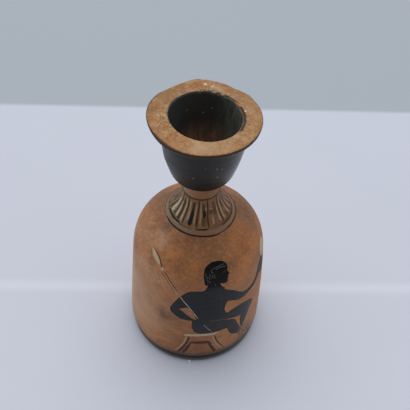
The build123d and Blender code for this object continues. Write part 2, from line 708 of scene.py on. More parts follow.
DEEP_CLAY = (0.27, 0.108, 0.043)
RED_CLAY = (0.41, 0.163, 0.060)
ORANGE_CLAY = (0.51, 0.205, 0.070)
TAN_CLAY = (0.52, 0.285, 0.145)
PALE_CLAY = (0.62, 0.36, 0.19)
DARK_CLAY = (0.20, 0.085, 0.038)
PINK_CLAY = (0.47, 0.22, 0.115)
WARM_CLAY = (0.57, 0.215, 0.066)
BRIGHT_CLAY = (0.66, 0.29, 0.105)
WARM_TINT = (1.0, 0.945, 0.85)
SHADY_CLAY = (0.145, 0.08, 0.045)
SHEEN_CLAY = (0.60, 0.38, 0.24)
OLIVE_CLAY = (0.27, 0.145, 0.06)
GREY_CLAY = (0.24, 0.15, 0.10)
RED_WASH = (0.30, 0.105, 0.055)
SMUDGE = (0.13, 0.072, 0.042)

# The brown band above the foot, which fades out upwards: partly thin slip, partly painted shade where the
# body turns under.
BAND_TOP = FOOT_TOP + 2.4
BAND_FADE = FOOT_TOP + 7.6
BAND_BROWN_AND_SHADE = (0.06, 0.042, 0.036)

# The neck: its brown clay, darkened as painted shade under the cup, a painted light on its left, and the
# fresh and the worn colour of its brown and olive washes.
COLLAR_BROWN_AND_SHADE = (0.235, 0.115, 0.047)
COLLAR_PAINTED_LIGHT = (0.50, 0.275, 0.12)
BROWN_WASH = ((0.19, 0.08, 0.03), (0.33, 0.155, 0.066))
OLIVE_WASH = ((0.14, 0.108, 0.058), (0.30, 0.225, 0.13))
COLLAR_SHADE = (0.115, 0.056, 0.027)
COLLAR_RIM = (0.275, 0.157, 0.095)
COLLAR_RED = (0.33, 0.13, 0.06)

# Marks on the body, the later ones on top: angle, height, reach, strength and colour.
# Most are stains and smudges. The SHADY_CLAY marks and the dark marks noted below are painted shade, and the
# SHEEN_CLAY marks and the pale mark noted below are a painted sheen.
STAINS_SHADE_AND_SHEEN = (
    (-85, 40, 36, 0.85, TAN_CLAY),
    (-50, 28, 24, 0.6, TAN_CLAY),
    (-62, 70, 16, 0.35, TAN_CLAY),
    (40, 40, 22, 0.6, ORANGE_CLAY),
    (62, 70, 26, 0.9, (0.29, 0.108, 0.037)),
    (-12, 60, 14, 0.5, RED_CLAY),
    (-10, 57, 9, 0.45, DEEP_CLAY),
    (56, 66, 18, 0.85, WARM_CLAY),
    (36, 56, 12, 0.7, WARM_CLAY),
    (-25, 69, 9, 0.8, WARM_CLAY),
    (100, 75.8, 11, 0.95, SHADY_CLAY),
    (-108, 75.8, 10, 0.6, SHADY_CLAY),
    (-80, 26, 26, 0.6, SHEEN_CLAY),
    (-76, 9, 17, 0.65, SHEEN_CLAY),
    (132, 70, 16, 0.95, SHADY_CLAY),
    (116, 65.5, 11, 0.8, SHADY_CLAY),
    (-125, 71, 10, 0.6, SHADY_CLAY),
    (92, 60, 10, 0.5, DEEP_CLAY),
    # painted shade low on the right
    (53, 12, 7.5, 0.75, (0.11, 0.08, 0.048)),
    (2, 75, 9, 0.75, DEEP_CLAY),
    (-2, 71.6, 7, 0.35, ORANGE_CLAY),
    (1, 67, 6, 0.6, (0.27, 0.1, 0.035)),
    # painted shade behind the collar on the right
    (104, 75.2, 8.5, 0.9, (0.10, 0.055, 0.03)),
    (-46.4, 72.1, 7, 0.6, SHEEN_CLAY),
    (72, 60.5, 9, 0.7, (0.2, 0.085, 0.035)),
    (64, 68, 14, 0.5, (0.36, 0.13, 0.03)),
    (24, 74.5, 9, 0.5, DEEP_CLAY),
    (-21, 57, 7, 0.45, TAN_CLAY),
    (-2, 63, 12, 0.65, DEEP_CLAY),
    (33, 61, 7, 0.5, DEEP_CLAY),
    (32, 66.4, 5, 0.7, SMUDGE),
    (-103, 76, 9, 0.8, SHADY_CLAY),
    # painted shade on the back of the shoulder, on the right
    (108, 72.5, 15, 0.7, (0.12, 0.064, 0.034)),
    (98, 73, 8, 0.45, DEEP_CLAY),
    (-88, 75.8, 8, 0.7, DEEP_CLAY),
    (-54, 75.8, 5, 0.9, SMUDGE),
    (-6, 29, 9, 0.65, DEEP_CLAY),
    (6, 18, 14, 0.6, (0.25, 0.115, 0.06)),
    # painted sheen on the left
    (-66, 28, 36, 0.45, (0.66, 0.41, 0.26)),
    (60, 20, 10, 0.5, GREY_CLAY),
    (5, 10, 19, 0.8, (0.23, 0.093, 0.04)),
    (7, 19.5, 7, 0.5, RED_WASH),
    (48, 11, 13, 0.8, GREY_CLAY),
    (-26, 34.2, 8, 0.95, SMUDGE),
    (-16.5, 67, 6, 0.7, SMUDGE),
    (-44, 63.4, 4, 0.6, SMUDGE),
    (-3, 67.5, 8, 0.6, ORANGE_CLAY),
    (-73, 75, 3.5, 0.6, SMUDGE),
    (37, 66.8, 3, 0.4, SMUDGE),
    (43, 68, 2.5, 0.4, SMUDGE),
    (-72, 60, 6, 0.6, SMUDGE),
    (88, 71, 9, 0.7, SMUDGE),
    (-45.5, 76, 3, 0.7, SMUDGE),
    (-12, 69, 5, 0.5, SMUDGE),
)


def clay_colour(shader):
    """Mottled fired clay with streaks from the wheel and darker handling marks."""
    patches = ((0.34, DEEP_CLAY), (0.46, RED_CLAY), (0.56, ORANGE_CLAY), (0.68, TAN_CLAY))
    colour = shader.ramp(shader.noise(30, detail=5), *patches)
    streaks = shader.clouds(9, 0.52, 0.78, detail=6, stretch=(1, 1, 5), shift=2)
    colour = shader.lay(colour, TAN_CLAY, streaks, 0.45)
    grime = shader.clouds(5, 0.56, 0.80, detail=8, rough=0.65, shift=5)
    colour = shader.lay(colour, SMUDGE, grime, 0.5)
    pink = shader.clouds(6, 0.5, 0.7, detail=6, rough=0.6, stretch=(1, 1, 1.6), shift=17)
    colour = shader.lay(colour, PINK_CLAY, pink, 0.6)
    olive = shader.clouds(7, 0.52, 0.7, detail=6, rough=0.6, stretch=(1, 1, 1.6), shift=23)
    colour = shader.lay(colour, OLIVE_CLAY, olive, 0.75)
    fine = shader.noise(2.4, detail=6, rough=0.7, stretch=(0.7, 0.7, 1.5), shift=11)
    colour = shader.lay(colour, DARK_CLAY, shader.ease(fine, 0.5, 0.3), 0.55)
    return shader.lay(colour, PALE_CLAY, shader.ease(fine, 0.52, 0.72), 0.5)


def clay_relief(shader):
    """Grain, pits and wheel marks. Hands back the pits, which are 0 in their middles."""
    grain = shader.noise(0.55, detail=3)
    pits = shader.ease(shader.cells(2.6), 0, 0.16)
    wheel = shader.noise(2.2, detail=2, stretch=(0.25, 0.25, 3))
    height = shader.plus(shader.times(grain, 0.5), shader.times(pits, 0.5))
    shader.bump(shader.plus(height, shader.times(wheel, 0.6)), 0.06)
    return pits


def clay_finish(shader, colour):
    rough = shader.between(shader.noise(6, detail=5, shift=3), 0.45, 0.75)
    return shader.finish(colour, rough, specular=0.4)


def red_clay():
    """The body: stained clay with painted shade and a painted sheen, grainy and darker towards the top of
    the shoulder, and dark above the foot.
    """
    shader = Shader("red_clay")
    colour = shader.lay(clay_colour(shader), DARK_CLAY, shader.along("Z", 60, 70), 0.36)
    for angle, height, reach, share, tint in STAINS_SHADE_AND_SHEEN:
        mark = shader.times(shader.near(on_skin(angle, height), reach), share)
        cloud = shader.clouds(reach / 2, 0.3, 0.6, detail=8, rough=0.65, shift=angle)
        colour = shader.lay(colour, tint, mark, cloud)
    grain = shader.noise(1.3, rough=0.6, shift=19)
    upper = shader.along("Z", 46, 60)
    colour = shader.lay(colour, DARK_CLAY, shader.ease(grain, 0.48, 0.34), shader.times(upper, 0.5))
    colour = shader.lay(colour, BRIGHT_CLAY, shader.ease(grain, 0.53, 0.68), shader.times(upper, 0.34))
    # Warmer everywhere but on the left, where the paler, greyer clay is a painted sheen from the light on
    # that side.
    colour = shader.blend(shader.along("X", -26, -8), colour, WARM_TINT, "MULTIPLY")
    # Thin slip and painted shade above the foot, with a ragged top that stays lower on the lit left side.
    ragged = shader.between(shader.noise(5, detail=5, shift=6), -1.5 / METRE, 1.5 / METRE)
    leftward = shader.between(shader.along("X", -4, -26), 0, 3 / METRE)
    from_foot = shader.plus(shader.plus(shader.part("Z"), ragged), leftward)
    colour = shader.lay(colour, BAND_BROWN_AND_SHADE, shader.fade(from_foot, BAND_FADE, BAND_TOP), 0.85)
    pits = clay_relief(shader)
    colour = shader.lay(colour, SMUDGE, shader.ease(pits, 0.5, 0), 0.5)
    return clay_finish(shader, colour)


def pale_clay():
    """The neck: painted light on the left, washed below its tube with painted shade on the right there, and
    greyer along the collar's rim.
    """
    shader = Shader("pale_clay")
    # Brown clay, darkened all over as painted shade under the cup.
    colour = shader.blend(0.6, clay_colour(shader), COLLAR_BROWN_AND_SHADE)
    # Painted light on the left side of the neck.
    colour = shader.lay(colour, COLLAR_PAINTED_LIGHT, shader.along("X", 0.5, -7.5), 0.7)
    washed = shader.along("Z", 91.5, 89.5)
    worn = shader.clouds(2.6, 0.3, 0.7, detail=6, rough=0.65, shift=1)
    colour = shader.lay(colour, shader.blend(worn, *BROWN_WASH), washed, 0.8)
    colour = shader.lay(colour, shader.blend(worn, *OLIVE_WASH), shader.along("X", -2, -11), 0.75)
    shaded = shader.times(washed, shader.along("X", 2, 12))
    colour = shader.lay(colour, COLLAR_SHADE, shaded, 0.5)
    rim = shader.along("Z", 78.1, 77.7)
    colour = shader.lay(colour, COLLAR_RIM, rim, 0.8)
    redder = shader.near(on_skin(8, COLLAR_LEVEL + 0.8), 9)
    colour = shader.lay(colour, COLLAR_RED, shader.times(rim, redder), 0.8)
    clay_relief(shader)
    return clay_finish(shader, colour)


# Black slip and other paint

GLOSS = 0.3
BLACK = (0.006, 0.0065, 0.0075)
THIN_BLACK = (0.02, 0.014, 0.011)
LOW_BLACK_SHEEN = (0.038, 0.034, 0.03)
# Greyer black of the foot and base band: partly wear, partly painted light from the pale table.
WORN_AND_LIT_BASE = (0.095, 0.082, 0.08)
RUBBED_AND_LIT_BASE = (0.15, 0.138, 0.145)
BROWN = (0.07, 0.028, 0.011)
CREAM = (0.55, 0.43, 0.27)
WORN_CREAM = (0.42, 0.235, 0.125)
TONGUE_TAN = (0.47, 0.275, 0.14)
TONGUE_GREY = (0.64, 0.51, 0.335)
TONGUE_WORN = (0.2, 0.125, 0.07)
WHITE_LIME = (0.95, 0.88, 0.84)
DULL_LIME = (0.8, 0.72, 0.68)


def gloss_colour(shader, wear, black=BLACK):
    """Black slip: thin and brown in places, worn through to the clay in specks."""
    thin = shader.clouds(7, 0.5, 0.8, detail=5, shift=4)
    colour = shader.lay(black, THIN_BLACK, thin, 0.7)
    specks = shader.clouds(1.1, 0.84 - wear, 0.92 - wear, detail=6, rough=0.7, shift=8)
    return shader.lay(colour, TAN_CLAY, specks, 0.85), specks


def gloss_relief(shader, specks):
    brushed = shader.noise(1.6, stretch=(0.4, 0.4, 3))
    shader.bump(shader.sum("SUBTRACT", shader.times(brushed, 0.6), specks), 0.03)


def gloss_roughness(shader, low=0.28, high=0.56):
    return shader.between(shader.noise(3.5, detail=5, shift=6), low, high)


def black_gloss(name, wear, shine):
    """Black slip that is greyer low on the body, as a painted sheen of the pale table."""
    shader = Shader(name)
    colour, specks = gloss_colour(shader, wear)
    # Painted sheen of the pale table low on the body.
    colour = shader.lay(colour, LOW_BLACK_SHEEN, shader.along("Z", 42, 24), 0.6)
    gloss_relief(shader, specks)
    return shader.finish(colour, gloss_roughness(shader), specular=shine)


def far_aside(shader):
    """0 at the front and back of the foot, 1 at its left and right."""
    return shader.fade(shader.sum("ABSOLUTE", shader.part("X"), 0), 6, 28)


def foot_gloss():
    """Black on the foot's edge, grey at the sides and the front from wear and painted light from the pale
    table, and bare clay underneath.
    """
    shader = Shader("foot_gloss")
    colour, specks = gloss_colour(shader, 0.2)
    edge = shader.plus(shader.part("Z"), shader.times(shader.noise(2), 0.6 / METRE))
    # Greyer at the sides and the front: wear and painted light from the pale table.
    colour = shader.lay(colour, WORN_AND_LIT_BASE, far_aside(shader), 0.85)
    rubbed = shader.times(shader.fade(edge, 4.4, 1.2), shader.along("Y", 10, -12))
    colour = shader.lay(colour, RUBBED_AND_LIT_BASE, rubbed, 0.9)
    colour = shader.blend(shader.fade(edge, 1, 0.6), colour, clay_colour(shader))
    gloss_relief(shader, specks)
    return shader.finish(colour, gloss_roughness(shader), specular=GLOSS)


def worn_wash(name, colour, wear, aside=None):
    """Thin brushwork that the clay shows through, of another colour at the sides if asked."""
    shader = Shader(name)
    tone = shader.blend(shader.noise(2, shift=1.5), colour, tuple(part * 1.8 for part in colour))
    if aside:
        tone = shader.blend(far_aside(shader), tone, aside)
    through = shader.clouds(1.3, 0.72 - wear, 0.95 - wear, detail=6, rough=0.7, shift=7)
    tone = shader.lay(tone, TAN_CLAY, through, 0.9)
    shader.bump(shader.noise(0.6, detail=3), 0.03)
    return shader.finish(tone, shader.between(shader.noise(3), 0.45, 0.75), specular=0.2)


def tongue_light():
    """Bare clay between the tongues, greyer on the left."""
    shader = Shader("tongue_light")
    colour = shader.blend(shader.along("X", -2, -11), TONGUE_TAN, TONGUE_GREY)
    worn = shader.clouds(1.5, 0.42, 0.75, detail=6, rough=0.65, shift=4)
    colour = shader.lay(colour, TONGUE_WORN, worn, 0.5)
    shader.bump(shader.noise(0.6, detail=3), 0.03)
    return shader.finish(colour, shader.between(shader.noise(3), 0.5, 0.8), specular=0.3)


def added_cream(name, wear, fresh=CREAM, rubbed=WORN_CREAM):
    """Cream paint on top of the clay or the black, rubbed off in places."""
    shader = Shader(name)
    worn = shader.clouds(1.4, 0.45 - wear, 0.8 - wear, detail=6, rough=0.7)
    colour = shader.lay(fresh, rubbed, worn, 0.8)
    shader.bump(shader.noise(0.5, detail=3), 0.04)
    return shader.finish(colour, shader.between(shader.noise(2), 0.6, 0.9), specular=0.3)


def lime():
    shader = Shader("lime")
    colour = shader.blend(shader.noise(0.4), WHITE_LIME, DULL_LIME)
    return shader.finish(colour, shader.between(shader.noise(0.5), 0.7, 0.95), specular=0.3)


# Mouth: black cup with a bare clay lip

# The hole is a turned oval, off the axis. The solid's hole is round.
HOLE_WIDE = 14.25
HOLE_LONG = 15.35
HOLE_DEEP = 15.1
HOLE_TURN = math.radians(31)
HOLE_SHIFT = Vector((0.3, 0.25, 0.0))

# Inside of the cup: a cone that widens upwards from the corner round the cup's floor.
CORNER_RADIUS = 10.6
CORNER_LEVEL = 104.8
INSIDE_SLOPE = 0.178
INSIDE_EDGE = CORNER_RADIUS - INSIDE_SLOPE * CORNER_LEVEL
INSIDE_START = (102.5, 102.9)
CUP_BLACK = (0.0062, 0.0062, 0.0045)
CUP_SHEEN = (0.97, 0.93, 0.83)
INSIDE_BLACK = (0.042, 0.04, 0.036)
INSIDE_BROWN = (0.32, 0.165, 0.105)
INSIDE_GREEN_SHEEN = (0.12, 0.13, 0.1)
INSIDE_BLUE = (0.045, 0.052, 0.056)
WHITE_FLECK = (0.75, 0.70, 0.62)

# White flecks in and on the cup: angle, distance from the axis, height, reach and strength.
CUP_FLECKS = (
    (-11, 16.1, 110.8, 0.55, 0.5),
    (20, 17.3, 117.2, 0.5, 0.5),
    (23, 16.2, 111.4, 0.6, 0.4),
    (27, 17.2, 116.4, 0.5, 0.4),
    (5, 17.5, 118.2, 0.4, 0.25),
    (-176, 13.6, 120.6, 0.6, 0.4),
    (-147, 13.9, 122.7, 0.5, 0.3),
    (169, 13.9, 123, 0.5, 0.25),
    (-112, 14.3, 125, 0.6, 0.25),
    (128, 16.4, 112, 0.5, 0.4),
    (-96, 17, 115.5, 0.5, 0.4),
)

LIP_CLAY = (0.34, 0.178, 0.077)
LIP_ORANGE = (0.32, 0.134, 0.044)
LIP_PALE = (0.45, 0.275, 0.138)
LIP_SPOT = (0.24, 0.125, 0.055)
LIP_SHADE = (0.2, 0.103, 0.045)
LIP_TAN = (0.43, 0.26, 0.13)
DARK_PIT = (0.12, 0.055, 0.025)

# The dark and the light of the lip's fine mottling and of its finer grain.
FINE_DARK, FINE_LIGHT = (0.19, 0.095, 0.042), (0.54, 0.365, 0.2)
GRAIN_DARK, GRAIN_LIGHT = (0.16, 0.08, 0.035), (0.6, 0.42, 0.24)

# Marks on the lip: angle, distance from the axis, reach, strength and colour.
LIP_MARKS = (
    (-94, 20.6, 1, 0.8, DARK_PIT),
    (-80, 16.3, 1.8, 0.6, DARK_PIT),
    (-1, 16, 0.6, 0.9, DARK_PIT),
    (-178, 19.7, 1.3, 0.95, WHITE_FLECK),
    (173, 18.8, 1, 0.6, WHITE_FLECK),
    (105, 16.1, 0.9, 0.9, WHITE_FLECK),
    (163, 17.6, 4.5, 0.5, (0.44, 0.27, 0.18)),
    (-175, 22.4, 4, 0.6, (0.36, 0.14, 0.06)),
    (0, 19, 10, 0.6, (0.46, 0.30, 0.162)),
    # painted shade at the back and the left of the lip
    (-128, 19.5, 11, 0.5, LIP_SHADE),
    (140, 20.5, 8, 0.35, LIP_SHADE),
    (-96, 21.4, 6, 0.4, LIP_SHADE),
    (30, 20.6, 6, 0.5, LIP_TAN),
    (-30, 21, 4.5, 0.35, LIP_TAN),
    (-35, 20, 7, 0.35, LIP_ORANGE),
    (115, 19.2, 5.5, 0.6, (0.28, 0.125, 0.047)),
    (168, 16.6, 2, 0.6, (0.16, 0.08, 0.04)),
)

# Black left round the hole on the right and at the back and along the lip's edge, which is thicker
# on the left, and a chip in the black at the hole.
RING_BLACK = (0.018, 0.011, 0.008)
RIM_LINE = (0.045, 0.022, 0.013)
LIP_SIDE_BROWN = (0.045, 0.022, 0.009)
WORN_SIDE = Vector((14.9, -1.2, LIP_TOP))
BACK_SIDE = Vector((8.0, 13.0, LIP_TOP))
WORN_REACH = 7.4
LIP_EDGE_LEFT = Vector((-17.5, -14.6, LIP_TOP))
CHIP_ANGLE = 120
CHIP_REACH = 1.8


def cup_colour(shader, radius, from_axis):
    """Black slip, brown and patchy low inside the cup with a painted green sheen on its right and blue on
    its left, with flecks and a brown side of the lip.
    """
    black, specks = gloss_colour(shader, 0.12, CUP_BLACK)
    height = shader.part("Z")
    coned = shader.sum("SUBTRACT", radius, shader.times(height, INSIDE_SLOPE))
    within = shader.fade(coned, INSIDE_EDGE + 1.8, INSIDE_EDGE + 1.4)
    within = shader.times(within, shader.fade(height, *INSIDE_START))
    black = shader.blend(within, black, INSIDE_BLACK)
    streaky = shader.clouds(2.6, 0.3, 0.7, detail=6, rough=0.65, stretch=(1, 1, 0.35), shift=2)
    patchy = shader.between(streaky, 0.15, 1)
    deep = shader.times(within, shader.fade(height, LIP_TOP - 11, LIP_TOP - 22))
    black = shader.lay(black, INSIDE_BROWN, deep, patchy)
    # Painted sheen: greenish on the right inside the cup.
    right = shader.times(within, shader.along("X", 3, 13))
    black = shader.lay(black, INSIDE_GREEN_SHEEN, right, patchy)
    left = shader.times(within, shader.along("X", -8, -13))
    black = shader.lay(black, INSIDE_BLUE, left, 0.7)
    for angle, distance, level, reach, share in CUP_FLECKS:
        fleck = shader.near(around_axis(angle, distance, level) / METRE, reach)
        black = shader.lay(black, WHITE_FLECK, fleck, share)
    outside = shader.fade(from_axis, LIP_RADIUS - 1.6, LIP_RADIUS - 0.9)
    return shader.lay(black, LIP_SIDE_BROWN, outside, 0.85), specks


def lip_colour(shader, from_axis):
    """Bare clay of the lip: mottled, dotted and grainy, more orange towards its edge."""
    patches = ((0.37, LIP_ORANGE), (0.5, LIP_CLAY), (0.64, LIP_PALE))
    clay = shader.ramp(shader.noise(5, detail=5, shift=9), *patches)
    spots = shader.clouds(2.2, 0.54, 0.72, detail=8, rough=0.7, shift=3)
    clay = shader.lay(clay, LIP_SPOT, spots, 0.6)
    clay = shader.lay(clay, DARK_PIT, shader.ease(shader.cells(2.1), 0.14, 0.07), 0.55)
    fine = shader.noise(1.6, detail=6, rough=0.65, shift=13)
    clay = shader.lay(clay, FINE_DARK, shader.ease(fine, 0.48, 0.32), 0.75)
    clay = shader.lay(clay, FINE_LIGHT, shader.ease(fine, 0.53, 0.7), 0.65)
    grain = shader.noise(0.9, rough=0.6, shift=19)
    clay = shader.lay(clay, GRAIN_DARK, shader.ease(grain, 0.47, 0.33), 0.6)
    clay = shader.lay(clay, GRAIN_LIGHT, shader.ease(grain, 0.54, 0.68), 0.55)
    clay = shader.lay(clay, LIP_ORANGE, shader.fade(from_axis, 17, 21), 0.35)
    for angle, distance, reach, share, tint in LIP_MARKS:
        mark = shader.near(around_axis(angle, distance, LIP_TOP) / METRE, reach)
        clay = shader.lay(clay, tint, mark, share)
    return clay


def mouth_gloss():
    """Black cup, bare lip, and black left in rings round the hole and along the lip's edge."""
    shader = Shader("mouth_gloss")
    oval = shader.oval(HOLE_SHIFT, HOLE_TURN, HOLE_WIDE / HOLE_DEEP, HOLE_LONG / HOLE_DEEP)
    radius = shader.length(oval)
    from_axis = shader.length(shader.stretched((1, 1, 0)))
    black, specks = cup_colour(shader, radius, from_axis)
    clay = lip_colour(shader, from_axis)
    ragged = shader.between(shader.noise(1.6, shift=1), -0.5 / METRE, 0.5 / METRE)
    edge = LIP_TOP - 0.75
    high = shader.fade(shader.plus(shader.part("Z"), ragged), edge - 0.12, edge + 0.12)
    chip = shader.near(around_axis(CHIP_ANGLE, HOLE_DEEP, LIP_TOP - 0.4) / METRE, CHIP_REACH)
    worn_edge = shader.plus(shader.plus(radius, ragged), shader.times(chip, 0.9 / METRE))
    worn_side = shader.ease(shader.near(WORN_SIDE / METRE, 2 * WORN_REACH), 0.4, 0.6)
    flakes = shader.clouds(1.7, 0.44, 0.5, detail=3, shift=31)
    back_side = shader.ease(shader.near(BACK_SIDE / METRE, 3 * WORN_REACH), 0.4, 0.6)
    ringed = shader.sum("MAXIMUM", worn_side, shader.times(back_side, flakes))
    ring_inner = shader.fade(radius, HOLE_DEEP + 0.1, HOLE_DEEP + 0.25)
    ring_outer = shader.fade(worn_edge, HOLE_DEEP + 1.45, HOLE_DEEP + 1.15)
    dark_ring = shader.times(shader.times(ring_inner, ring_outer), ringed)
    clay = shader.lay(clay, RING_BLACK, dark_ring, 0.95)
    worn_edge = shader.plus(worn_edge, shader.times(worn_side, 0.5 / METRE))
    wide = shader.fade(worn_edge, HOLE_DEEP + 0.2, HOLE_DEEP + 0.5)
    thicker = shader.between(shader.near(LIP_EDGE_LEFT / METRE, 14), 0, 0.9 / METRE)
    rim_place = shader.plus(shader.plus(from_axis, ragged), thicker)
    rim = shader.fade(rim_place, LIP_RADIUS - 0.55, LIP_RADIUS - 0.1)
    clay = shader.lay(clay, RIM_LINE, rim, 0.85)
    lip = shader.times(high, wide)
    colour = shader.blend(lip, black, clay)
    dull = shader.times(shader.along("X", 14, -14), 0.16)
    rough = shader.plus(gloss_roughness(shader, 0.14, 0.34), dull)
    painted = shader.sum("MAXIMUM", dark_ring, rim)
    matte = shader.times(lip, shader.ease(painted, 1, 0))
    rough = shader.plus(rough, shader.times(matte, 0.35))
    grain = shader.times(shader.noise(0.6, detail=3), 0.5)
    shader.bump(shader.sum("SUBTRACT", grain, shader.times(specks, 0.5)), 0.05)
    return shader.finish(colour, rough, specular=GLOSS, tint=CUP_SHEEN)


# Clay pieces

# Pits and chips in the lip: angle, distance from the axis, reach and depth.
PITS = (
    (-94, 20.6, 0.8, 0.30),
    (-80, 16.3, 0.9, 0.22),
    (-1, 16, 0.45, 0.35),
    (151, 15.3, 1.2, 0.50),
    (160, 15.2, 0.8, 0.45),
    (169, 15.4, 1, 0.40),
    (-170, 15.3, 0.7, 0.35),
    (118, 15.3, 0.8, 0.30),
    (86, 15.3, 1, 0.35),
    (-175, 22.6, 1.4, 0.25),
    (60, 22.7, 1, 0.25),
    (-130, 22.6, 0.9, 0.2),
)
PITTED_HEIGHT = 2.5

# Where the lip's edge dips: angle from the back, width of the dip, how far inwards and down.
LIP_DIPS = (
    (-31, 17, 0.25, 0.45),
    (-44, 7, 0.18, 0.25),
    (8, 10, 0.06, 0.1),
    (30, 6, 0.2, 0.36),
    (49, 6, -0.18, -0.3),
    (-122, 20, 0.4, 0),
)

# How far down the lip's shape changes, where its inner and outer changes begin and how they fade.
LIP_DEPTH = 9.0
INNER_END = 19.0
INNER_FADE = 3.0
OUTER_START = 15.0
OUTER_FADE = 7.0

# How far the lip bulges at the back on each side, and where and how far it is raised there.
LIP_LEFT = 1.3
LIP_RIGHT = 0.7
LIP_LIFT = Vector((0, 0.5, 0.9))
LIP_LIFT_TURN = math.radians(-12)

# How far the cup's waist leans to the left and how far its left side is pressed in, each with
# the height of its middle and how far up and down it spreads.
CUP_SWAY, SWAY_LEVEL, SWAY_SPREAD = 0.3, 114.0, 7.0
CUP_LEFT, LEFT_LEVEL, LEFT_SPREAD = 0.6, 117.0, 5.0

HANDLE_WIDE = 11.5
HANDLE_THICK = 5.0
HANDLE_SIDES = 48

# Swelling of the handle at the neck and the shoulder: the share of its length, then how much wider
# and thicker. Its section is a slightly boxy oval, and its dents are given as depth and size.
NECK_ROOT, SHOULDER_ROOT = 0.09, 0.08
ROOT_WIDER, ROOT_THICKER = 0.13, 0.12
WIDE_POWER, THICK_POWER = 0.8, 0.9
HANDLE_DENTS = ((0.12, 5.0), (0.05, 2.2))

FLECK_PLACE = Vector((-0.8, -33.8, 0.55))
FLECK_SIZE = (0.8, 0.75, 0.5)


def chipped_lip(point, outward):
    """The hand-thrown mouth: oval hole off its centre, lip raised at the back, pits and chips."""
    place = handmade(point, outward)
    radius = math.hypot(point.x, point.y)
    right, back = point.x / radius, point.y / radius
    side = Vector((right, back, 0))
    high = max(0.0, 1 - (LIP_TOP - point.z) / LIP_DEPTH)
    inner = high * clamp((INNER_END - radius) / INNER_FADE)
    wide_way = Vector((math.cos(HOLE_TURN), math.sin(HOLE_TURN), 0))
    long_way = Vector((-wide_way.y, wide_way.x, 0))
    place += wide_way * side.dot(wide_way) * (HOLE_WIDE - HOLE_DEEP) * inner
    place += long_way * side.dot(long_way) * (HOLE_LONG - HOLE_DEEP) * inner
    place += HOLE_SHIFT * inner
    outer = high * high * clamp((radius - OUTER_START) / OUTER_FADE)
    bulge = 2 * back * abs(right) ** 5 * (LIP_LEFT if right < 0 else LIP_RIGHT)
    place += side * bulge * outer
    from_back = math.atan2(point.x, point.y)
    turn = max(0.0, math.cos(from_back - LIP_LIFT_TURN))
    place += LIP_LIFT * (turn**6 + 0.4 * turn**60) * outer
    for angle, width, inward, down in LIP_DIPS:
        share = outer * bell((math.degrees(from_back) - angle) / width)
        place -= Vector((right * inward, back * inward, down)) * share
    place.x -= CUP_SWAY * bell((point.z - SWAY_LEVEL) / SWAY_SPREAD)
    place.x += CUP_LEFT * max(0.0, -right) * bell((point.z - LEFT_LEVEL) / LEFT_SPREAD)
    if point.z > LIP_TOP - PITTED_HEIGHT:
        for angle, distance, reach, depth in PITS:
            gap = (point - around_axis(angle, distance, LIP_TOP)).length / reach
            place -= outward * depth * bell(gap)
    return place


def handle_line():
    """Centre line of the strap from inside the neck to inside the shoulder."""
    half = HANDLE_THICK / 2
    top = HANDLE_HIGH.z - half
    reach = HANDLE_HIGH.y - half
    return curve(
        (HANDLE_LOW.y - 1, top),
        (reach - 9.5, top),
        (reach - 4.2, top - 0.9),
        (reach - 0.8, top - 4.2),
        (reach, top - 8.5),
        (reach - 0.4, top - 14),
        (reach - 1.3, HANDLE_LOW.z - 0.6),
        step=0.5,
    )


def make_handle():
    """Strap handle that swells where it was pressed on to the neck and the shoulder."""
    line = handle_line()
    last = len(line) - 1
    vertices, faces = [], []
    for i, spot in enumerate(line):
        run = run_at(line, i)
        out = Vector((-run.y, run.x))
        root = bell((i / last) / NECK_ROOT) + bell(((last - i) / last) / SHOULDER_ROOT)
        for k in range(HANDLE_SIDES):
            turn = 2 * math.pi * k / HANDLE_SIDES
            c, s = math.cos(turn), math.sin(turn)
            wide = HANDLE_WIDE / 2 * (1 + ROOT_WIDER * root) * math.copysign(abs(c) ** WIDE_POWER, c)
            thick = HANDLE_THICK / 2 * (1 + ROOT_THICKER * root) * math.copysign(abs(s) ** THICK_POWER, s)
            place = Vector((wide, spot.x + out.x * thick, spot.y + out.y * thick))
            outward = Vector((c, out.x * s, out.y * s)).normalized()
            dent = sum(depth * noise.noise(place / size) for depth, size in HANDLE_DENTS)
            vertices.append((place + outward * dent) / METRE)
    for i in range(last):
        here, onward = i * HANDLE_SIDES, (i + 1) * HANDLE_SIDES
        for k in range(HANDLE_SIDES):
            after = (k + 1) % HANDLE_SIDES
            faces.append((here + k, here + after, onward + after, onward + k))
    faces.append(tuple(reversed(range(HANDLE_SIDES))))
    faces.append(tuple(range(last * HANDLE_SIDES, (last + 1) * HANDLE_SIDES)))
    return mesh_piece("handle_strap", vertices, faces)


def make_lime_fleck():
    """A crumb of white lime that sticks to the front of the foot."""
    crumb = bmesh.new()
    bmesh.ops.create_icosphere(crumb, subdivisions=3, radius=1)
    for vertex in crumb.verts:
        bulge = 1 + 0.3 * noise.noise(vertex.co * 1.3)
        place = Vector([part * size for part, size in zip(vertex.co, FLECK_SIZE)]) * bulge
        vertex.co = (place + FLECK_PLACE + slump(FLECK_PLACE)) / METRE
    mesh = bpy.data.meshes.new("lime_fleck")
    crumb.to_mesh(mesh)
    crumb.free()
    mesh.shade_smooth()
    return in_scene("lime_fleck", mesh)


def dress(piece, material, node=None):
    """Gives a piece its material, hangs it on the root and hides the imported part that it stands for, if
    any.
    """
    piece.data.materials.append(material)
    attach(piece, "root")
    if node:
        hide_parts(node)


foot_outline = refined_outline("foot", 0.8)
body_outline = refined_outline("body", 1.0)
neck_outline = refined_outline("neck", 0.6)
mouth_outline = refined_outline("mouth", 0.6)
skin = make_skin(body_outline, neck_outline)

